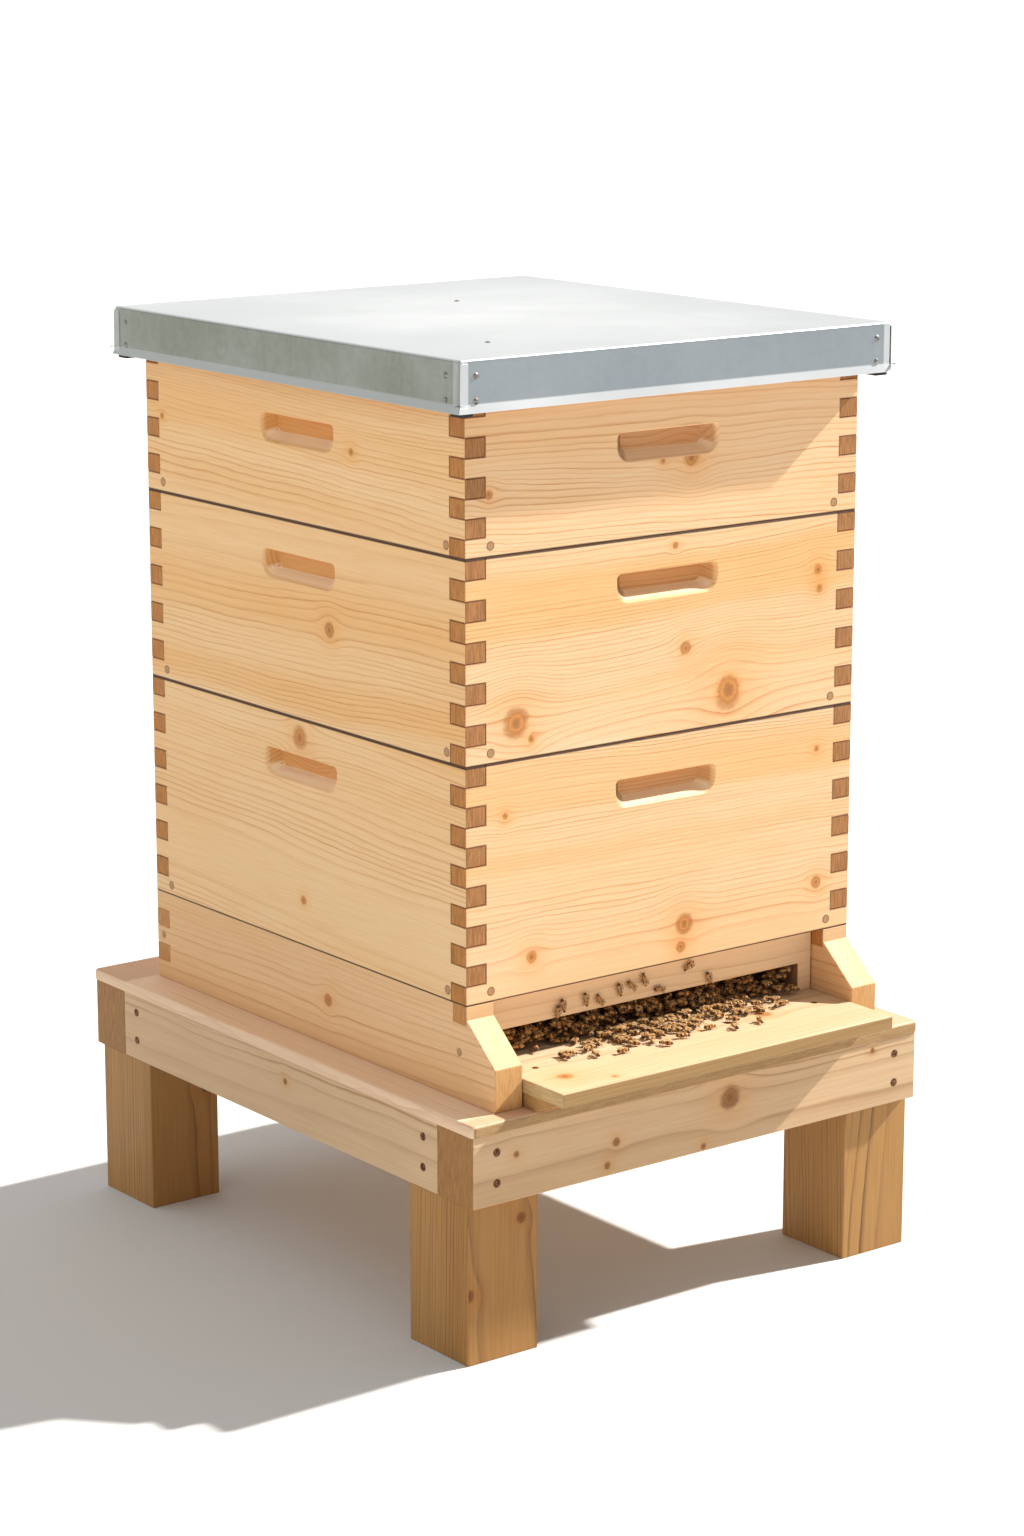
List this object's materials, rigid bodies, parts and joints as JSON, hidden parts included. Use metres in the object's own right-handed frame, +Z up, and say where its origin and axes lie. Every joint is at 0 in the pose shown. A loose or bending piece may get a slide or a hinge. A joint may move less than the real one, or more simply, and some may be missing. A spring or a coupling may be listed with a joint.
{
  "type": "beehive",
  "caption": "Stacked timber beehive on a low stand: finger-jointed boxes of hanging frames, floor with landing board, inner cover and metal-clad lift-off roof.",
  "frame": {"origin": "ground level, at the centre of the footprint, which runs from the landing board's front edge to the back of the stand's deck", "axes": "+Z up; the entrance and landing board face -Y; +X is the right-hand side of the hive for someone facing the entrance"},
  "size_m": [0.483, 0.6104, 0.8109],
  "materials": {
    "pine_boards": "oiled pine, smooth planed",
    "pine_stand": "bare planed softwood",
    "leg_timber": "golden brown stained softwood",
    "deck_pine": "bare planed softwood board",
    "entrance_pine": "bare planed softwood",
    "frame_pine": "bare planed softwood",
    "cover_wood": "bare sawn softwood",
    "wood_plugs": "end grain wooden plugs",
    "wax_comb": "wax comb",
    "galvanised_sheet": "galvanised sheet steel, satin",
    "zinc_fasteners": "dull zinc-plated steel",
    "steel_rests": "plain steel strip",
    "rubber_pads": "matt black"
  },
  "bodies": {
    "stand": {"leg_front_left": "leg_timber", "leg_front_right": "leg_timber", "leg_rear_left": "leg_timber", "leg_rear_right": "leg_timber", "stand_rail_front": "pine_stand", "stand_rail_rear": "pine_stand", "stand_rail_left": "pine_stand", "stand_rail_right": "pine_stand", "deck_board": "deck_pine", "stand_screws": "zinc_fasteners", "deck_nails": "zinc_fasteners"},
    "floor": {"base_rail_left": "pine_boards", "base_rail_right": "pine_boards", "base_rear_board": "pine_boards", "floor_panel": "deck_pine", "landing_board": "deck_pine", "landing_board_bearer": "deck_pine", "landing_board_nails": "zinc_fasteners", "base_plugs": "wood_plugs", "base_corner_keys": "pine_boards"},
    "entrance": {"entrance_block": "entrance_pine"},
    "lower_box": {"lower_front_board": "pine_boards", "lower_rear_board": "pine_boards", "lower_left_board": "pine_boards", "lower_right_board": "pine_boards", "lower_frame_rests": "steel_rests", "lower_corner_plugs": "wood_plugs"},
    "lower_frames": {"lower_top_bars": "frame_pine", "lower_end_bars": "frame_pine", "lower_bottom_bars": "frame_pine", "lower_combs": "wax_comb"},
    "middle_box": {"middle_front_board": "pine_boards", "middle_rear_board": "pine_boards", "middle_left_board": "pine_boards", "middle_right_board": "pine_boards", "middle_frame_rests": "steel_rests", "middle_corner_plugs": "wood_plugs"},
    "middle_frames": {"middle_top_bars": "frame_pine", "middle_end_bars": "frame_pine", "middle_bottom_bars": "frame_pine", "middle_combs": "wax_comb"},
    "super_box": {"super_front_board": "pine_boards", "super_rear_board": "pine_boards", "super_left_board": "pine_boards", "super_right_board": "pine_boards", "super_frame_rests": "steel_rests", "super_corner_plugs": "wood_plugs"},
    "super_frames": {"super_top_bars": "frame_pine", "super_end_bars": "frame_pine", "super_bottom_bars": "frame_pine", "super_combs": "wax_comb"},
    "inner_cover": {"inner_cover_panel": "cover_wood", "inner_cover_end_battens": "cover_wood", "inner_cover_side_battens": "cover_wood"},
    "outer_cover": {"cover_end_rims": "cover_wood", "cover_side_rims": "cover_wood", "cover_planks": "cover_wood", "cover_sheet": "galvanised_sheet", "cover_nails": "galvanised_sheet", "cover_pads": "rubber_pads"}
  },
  "joints": [
    {"name": "floor_lift", "type": "slide", "parent": "stand", "child": "floor", "axis": [0, 0, 1], "range_m": [0, 0.12]},
    {"name": "entrance_block_pull", "type": "slide", "parent": "floor", "child": "entrance", "axis": [0, -1, 0], "range_m": [0, 0.11]},
    {"name": "lower_box_lift", "type": "slide", "parent": "floor", "child": "lower_box", "axis": [0, 0, 1], "range_m": [0, 0.12]},
    {"name": "middle_box_lift", "type": "slide", "parent": "lower_box", "child": "middle_box", "axis": [0, 0, 1], "range_m": [0, 0.26]},
    {"name": "super_lift", "type": "slide", "parent": "middle_box", "child": "super_box", "axis": [0, 0, 1], "range_m": [0, 0.22]},
    {"name": "inner_cover_lift", "type": "slide", "parent": "super_box", "child": "inner_cover", "axis": [0, 0, 1], "range_m": [0, 0.18]},
    {"name": "outer_cover_lift", "type": "slide", "parent": "inner_cover", "child": "outer_cover", "axis": [0, 0, 1], "range_m": [0, 0.15]},
    {"name": "lower_frames_lift", "type": "slide", "parent": "lower_box", "child": "lower_frames", "axis": [0, 0, 1], "range_m": [0, 0.195]},
    {"name": "middle_frames_lift", "type": "slide", "parent": "middle_box", "child": "middle_frames", "axis": [0, 0, 1], "range_m": [0, 0.165]},
    {"name": "super_frames_lift", "type": "slide", "parent": "super_box", "child": "super_frames", "axis": [0, 0, 1], "range_m": [0, 0.135]}
  ],
  "couplings": [
    {"joint": "lower_frames_lift", "follows": "middle_box_lift", "ratio": 0.75},
    {"joint": "middle_frames_lift", "follows": "super_lift", "ratio": 0.75},
    {"joint": "super_frames_lift", "follows": "inner_cover_lift", "ratio": 0.75}
  ]
}
